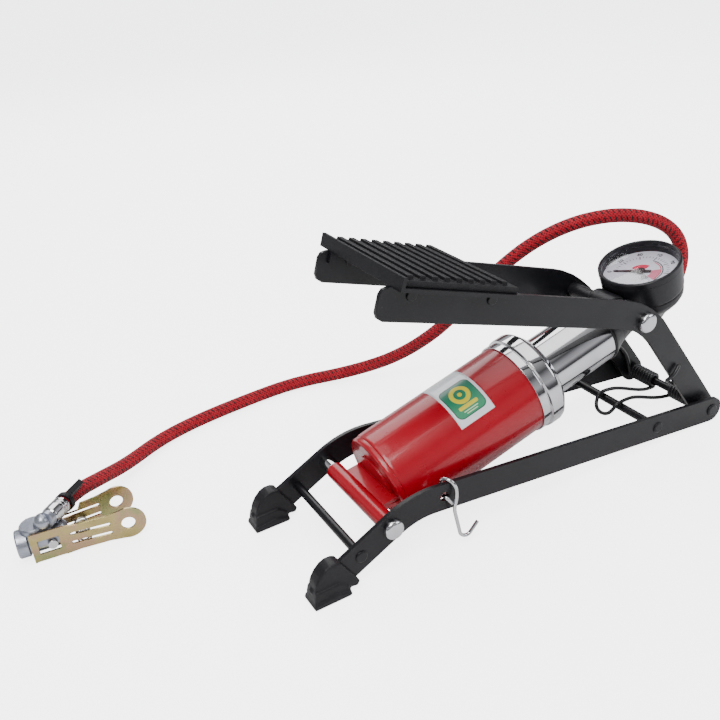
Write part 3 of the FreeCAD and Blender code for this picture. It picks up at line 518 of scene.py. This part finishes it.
# --------------------------------------------------------------- the hose
ROUTE = [(128.16, 4.21, 72.02), (140.0, 5.4, 75.9), (148.5, 7.0, 84.4), (151.7, 9.4, 96.0), (148.9, 12.6, 106.6),
         (140.4, 17.0, 115.3), (127.0, 23.5, 121.2), (110.1, 32.5, 123.2), (91.4, 44.0, 119.5), (73.1, 57.5, 108.5),
         (57.6, 71.5, 91.0), (44.1, 88.5, 66.5), (30.6, 107.0, 40.0), (10.1, 131.0, 17.0), (-17.4, 151.5, 6.0),
         (-55.4, 165.0, 4.5), (-95.4, 163.5, 4.5), (-133.4, 159.2, 4.5), (-161.4, 150.8, 4.9), (-187.4, 131.5, 8.2),
         (-207.4, 116.6, 14.4), (-223.0, 104.6, 19.4), (-233.1, 93.8, 21.0)]
cu = bpy.data.curves.new("hose_line", "CURVE")
cu.dimensions = "3D"
sp = cu.splines.new("NURBS")
sp.points.add(len(ROUTE) - 1)
for pt, p in zip(sp.points, ROUTE):
    pt.co = (p[0] * MM, p[1] * MM, p[2] * MM, 1.0)
sp.order_u = 3
sp.use_endpoint_u = True
sp.resolution_u = 24
line = bpy.data.objects.new("hose_line", cu)
bpy.context.scene.collection.objects.link(line)
bpy.context.view_layer.update()
read = bpy.data.meshes.new_from_object(line.evaluated_get(bpy.context.evaluated_depsgraph_get()))
path = [v.co.copy() for v in read.vertices]
bpy.data.objects.remove(line)
bpy.data.meshes.remove(read)
if (path[0] - Vector(ROUTE[0]) * MM).length > (path[-1] - Vector(ROUTE[0]) * MM).length:
    path.reverse()
HOSE_R = 4.3 * MM
SIDES = 40
hv, hf, run = tube_geo(path, HOSE_R, SIDES)
n_ring = len(path)
uvs = []
for face in hf:
    if len(face) == 4:
        i, k = divmod(face[0], SIDES)
        u0, u1 = run[i] * 1000, run[i + 1] * 1000
        v0, v1 = k / SIDES, (k + 1) / SIDES
        uvs += [(u0, v0), (u0, v1), (u1, v1), (u1, v0)]
    else:
        uvs += [(0.0, 0.0)] * len(face)
hose = obj_from("hose_braided", hv, hf, "hose_braid", True, uvs)
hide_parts("air_hose")
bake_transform(hose)

# ---------------------------------------------------------------- springs
HX, HZ, RX, RZ = 140.0 + SX, 8.0, 93.5 + SX, 13.2
WIRE = 1.2 * MM


def P(x, y, z):
    return Vector((x, y, z)) * MM


geos = []
for side in (-1, 1):
    turns = 8
    R = 4.1
    y_in = -4.5 if side < 0 else 8.0
    # close-wound coil, starting under the rod where the forward wire leaves
    c0 = P(HX, y_in + side * 0.9, HZ)
    coil = helix(c0, (0, side, 0), (0, 0, -1), R * MM, 18.2 * MM, turns, 0.0, 26)
    fore = spline2([P(RX - 9.2, 0.0, RZ - 4.4), P(RX - 9.2, side * 2.6, RZ - 4.4), P(RX - 7.8, side * 6.4, RZ - 2.0), P(RX - 4.4, side * 8.0, RZ + 3.6),
                    P(RX + 1.5, side * 8.0, RZ + 4.4), P(RX + 12, (y_in + side * 8.0) / 2, RZ + 2.4), P(HX - 14, y_in, HZ - 1.9),
                    P(HX - 4.0, y_in + side * 0.5, HZ - R), P(HX, y_in + side * 0.9, HZ - R)], 8)
    geos.append(tube_geo(fore[:-1] + coil, WIRE * 0.98, 12))
coils = obj_from("return_spring_wire", *merge(*geos), "spring_black")
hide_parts("return_spring")
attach(coils, "base_frame")
geos = []
for side in (-1, 1):
    y = side * 26.4
    arm = spline2([P(HX + 1.0, y, HZ - R), P(HX - 4.2, y, HZ - 2.6), P(HX - 5.2, y, HZ + 3.0), P(HX - 8.4, side * 26.9, HZ + 15.0), P(HX - 15.2, side * 27.3, HZ + 23.5),
                   P(HX - 20.5, side * 27.4, HZ + 27.6)], 8)
    if side < 0:
        # the near end runs up to the leg's front edge and hooks round it
        arm = spline2([P(HX + 1.0, -24.0, HZ - R), P(HX - 4.2, -24.2, HZ - 2.6), P(HX - 5.4, -24.6, HZ + 3.2), P(HX - 13.0, -25.6, HZ + 13.5),
                       P(HX - 27.0, -27.4, HZ + 24.5), P(HX - 33.0, -28.8, HZ + 28.6), P(HX - 34.0, -31.6, HZ + 31.4), P(HX - 31.4, -33.4, HZ + 34.6),
                       P(HX - 27.6, -32.6, HZ + 39.0)], 8)
    geos.append(tube_geo(arm, WIRE * 0.98, 12))
tails = obj_from("return_spring_ends", *merge(*geos), "spring_black")
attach(tails, "lever")

# clip spring: short compression spring across the chuck's tails
cs = helix(chp(33.0, -8.1, 6.4), E2, (0, 0, 1), 3.7 * MM, 16.2 * MM, 6.5, 0.4, 26)
clip_spring = obj_from("clip_spring_wire", *merge(tube_geo(cs, 0.48 * MM, 10)), "steel")
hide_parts("clip_spring")
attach(clip_spring, "base_frame")
# check spring inside the piston
ck = helix(onax(62.9), DX, (0, 1, 0), 2.7 * MM, 8.1 * MM, 6.0, 0.0, 22)
check_spring = obj_from("check_spring_wire", *merge(tube_geo(ck, 0.45 * MM, 8)), "steel")
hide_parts("check_spring")
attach(check_spring, "pump_rod")

# ------------------------------------------------------------- gauge dial
S_G, DIAL = 215.0, 18.6
ZERO = 120.0            # needle at zero points to the left of the picture
SWEEP = 222.0


def dial(r, deg, h=DIAL):
    a = math.radians(deg)
    return onax(S_G + r * math.cos(a), h, r * math.sin(a))


def sector(r0, r1, d0, d1, h, t=0.06, n=None):
    """Raised flat sector on the dial between two radii and two angles."""
    n = n or max(2, int(abs(d1 - d0) / 4))
    verts, faces = [], []
    for k in range(n + 1):
        d = d0 + (d1 - d0) * k / n
        verts += [dial(r0, d, h), dial(r1, d, h), dial(r1, d, h + t), dial(r0, d, h + t)]
    for k in range(n):
        a, b = 4 * k, 4 * k + 4
        for i in range(4):
            j = (i + 1) % 4
            faces.append((a + i, b + i, b + j, a + j))
    faces += [(0, 1, 2, 3), (4 * n + 3, 4 * n + 2, 4 * n + 1, 4 * n)]
    return verts, faces


def bar(r0, r1, deg, width, h, t=0.06):
    a = math.radians(deg)
    e, w = Vector((math.cos(a), math.sin(a))), Vector((-math.sin(a), math.cos(a)))
    pts = [e * r0 - w * width / 2, e * r1 - w * width / 2, e * r1 + w * width / 2, e * r0 + w * width / 2]
    verts = [onax(S_G + p.x, hh, p.y) for hh in (h, h + t) for p in pts]
    faces = [(3, 2, 1, 0), (4, 5, 6, 7), (0, 1, 5, 4), (1, 2, 6, 5), (2, 3, 7, 6), (3, 0, 4, 7)]
    return verts, faces


def text_geo(string, size, r, deg, h):
    """Upright numerals on the dial, facing the reader."""
    fc = bpy.data.curves.new("t", "FONT")
    fc.body = string
    fc.size = size * MM
    fc.align_x, fc.align_y = "CENTER", "CENTER"
    fc.extrude = 0.03 * MM
    fc.offset = 0.10 * MM
    ob = bpy.data.objects.new("t", fc)
    bpy.context.scene.collection.objects.link(ob)
    bpy.context.view_layer.update()
    me = bpy.data.meshes.new_from_object(ob.evaluated_get(bpy.context.evaluated_depsgraph_get()))
    a = math.radians(deg)
    upv = DX * math.cos(a) + DY * math.sin(a)        # radial: top of the numeral points outward
    rt = DX * math.cos(a - math.pi / 2) + DY * math.sin(a - math.pi / 2)
    c = dial(r, deg, h)
    verts = [c + rt * v.co.x + upv * v.co.y + DN * (v.co.z + 0.03 * MM) for v in me.vertices]
    faces = [tuple(p.vertices) for p in me.polygons]
    bpy.data.objects.remove(ob)
    bpy.data.meshes.remove(me)
    return verts, faces


black, pink, redp, grey = [], [], [], []
for k in range(0, 31):
    d = ZERO - SWEEP * k / 30
    major = k % 5 == 0
    black.append(bar(13.4 if major else 14.6, 16.2, d, 0.55 if major else 0.30, DIAL))
for k, s in enumerate(("0", "20", "40", "60", "80", "100", "120")):
    black.append(text_geo(s, 3.5, 18.7, ZERO - SWEEP * k / 6, DIAL))
black.append(sector(12.2, 12.8, 10.0, ZERO - SWEEP, DIAL))
pink.append(sector(6.0, 11.0, -45.0, ZERO - SWEEP, DIAL))
redp.append(sector(11.1, 11.7, 0.0, ZERO - SWEEP, DIAL))
redp.append(sector(1.5, 7.2, 0.0, 90.0, DIAL, 0.3))
grey.append(sector(3.4, 8.4, 225.0, 255.0, DIAL, 0.25))
grey.append(bar(1.5, 6.0, 240.0, 1.6, DIAL + 0.02, 0.25))
black.append(text_geo("psi", 2.4, 13.0, 240.0, DIAL))
for name, geo, mat in (("dial_print_black", black, "print_black"), ("dial_print_pink", pink, "print_pink"),
                       ("dial_print_red", redp, "print_red"), ("dial_print_grey", grey, "print_grey")):
    o = obj_from(name, *merge(*geo), mat, smooth=False)
    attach(o, "pump_rod")

# --------------------------------------------------------------- label
ns, na = 12, 40
verts, faces, uvl = [], [], []
S0, S1, A0, A1 = 62.2, 85.0, -30.0, 53.0
for i in range(ns + 1):
    for j in range(na + 1):
        s = S0 + (S1 - S0) * i / ns
        a = math.radians(A0 + (A1 - A0) * j / na)
        r = 27.0 + 0.10
        verts.append(onax(s, r * math.cos(a), -r * math.sin(a)))
uv_of = {}
for i in range(ns):
    for j in range(na):
        q = (i * (na + 1) + j, i * (na + 1) + j + 1, (i + 1) * (na + 1) + j + 1, (i + 1) * (na + 1) + j)
        faces.append(q)
        for idx in q:
            ii, jj = divmod(idx, na + 1)
            uvl.append((S0 + (S1 - S0) * ii / ns, math.radians(A0 + (A1 - A0) * jj / na) * 27.0))
label = obj_from("barrel_label", verts, faces, "label", True, uvl)
sol = label.modifiers.new("thick", "SOLIDIFY")
sol.thickness = 0.0001
sol.offset = 0.0
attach(label, "barrel")

# ---------------------------------------------------- floor, light, world
fl = Net("floor")
fn = fl.noise(3.0, 4.0)
fb = fl.bsdf(fl.mix(fl.rng(fn, 0.0, 1.0, 0.3, 0.7), (0.84, 0.84, 0.845), (0.87, 0.87, 0.875)), fl.rng(fl.noise(9.0), 0.55, 0.65), 0.0, fl.bump(fl.noise(60.0), 0.01), 0.0, 0.05, 0.15)
lp = fl.n("ShaderNodeLightPath")
glow = fl.n("ShaderNodeEmission")
glow.inputs[0].default_value = (1.0, 1.0, 1.0, 1.0)
fl.put(glow.inputs[1], fl.math("MULTIPLY", lp.outputs["Is Camera Ray"], 3.6))
both = fl.n("ShaderNodeAddShader")
fl.t.links.new(fb.outputs[0], both.inputs[0])
fl.t.links.new(glow.outputs[0], both.inputs[1])
fl.t.links.new(both.outputs[0], fl.out.inputs[0])
bpy.ops.mesh.primitive_plane_add(size=12.0, location=(0, 0, -0.0002))
floor = bpy.context.object
floor.name = "floor"
floor.data.materials.append(fl.m)


def area(name, loc, target, size, power, color=(1, 1, 1), size_y=None):
    d = bpy.data.lights.new(name, "AREA")
    d.energy = power
    d.color = color
    d.size = size
    if size_y:
        d.shape = "RECTANGLE"
        d.size_y = size_y
    o = bpy.data.objects.new(name, d)
    bpy.context.scene.collection.objects.link(o)
    o.location = loc
    o.rotation_euler = (Vector(target) - Vector(loc)).to_track_quat("-Z", "Y").to_euler()
    return o


area("key", (-0.55, -0.55, 1.25), (0, 0, 0.03), 0.75, 15.0, (1.0, 0.99, 0.97))
area("fill", (0.95, -0.75, 0.75), (0, 0, 0.05), 0.7, 5.0, (0.95, 0.97, 1.0))
area("back", (0.25, 1.1, 1.0), (0, 0, 0.05), 0.9, 10.0)
area("top", (0.0, 0.1, 1.6), (0, 0, 0.0), 1.3, 10.0)

world = bpy.data.worlds.new("world")
bpy.context.scene.world = world
world.use_nodes = True
wt = world.node_tree
wt.nodes.clear()
wo = wt.nodes.new("ShaderNodeOutputWorld")
bg = wt.nodes.new("ShaderNodeBackground")
tc = wt.nodes.new("ShaderNodeTexCoord")
sep = wt.nodes.new("ShaderNodeSeparateXYZ")
rp = wt.nodes.new("ShaderNodeValToRGB")
wt.links.new(tc.outputs["Generated"], sep.inputs[0])
wt.links.new(sep.outputs[2], rp.inputs[0])
# even light for everything, dark cards only in what the bright metal reflects
for e, (p, v) in zip([rp.color_ramp.elements[0], rp.color_ramp.elements[1]] + [rp.color_ramp.elements.new(0.5) for _ in range(4)],
                     ((0.0, 0.10), (1.0, 0.85), (0.10, 0.16), (0.26, 0.75), (0.46, 0.55), (0.64, 0.12))):
    e.position = p
    e.color = (v, v, v * 1.03, 1)
path_in = wt.nodes.new("ShaderNodeLightPath")
pick = wt.nodes.new("ShaderNodeMix")
pick.data_type = "RGBA"
pick.inputs[6].default_value = (0.62, 0.63, 0.65, 1)
wt.links.new(path_in.outputs["Is Glossy Ray"], pick.inputs[0])
wt.links.new(rp.outputs[0], pick.inputs[7])
wt.links.new(pick.outputs[2], bg.inputs[0])
bg.inputs[1].default_value = 0.8
wt.links.new(bg.outputs[0], wo.inputs[0])
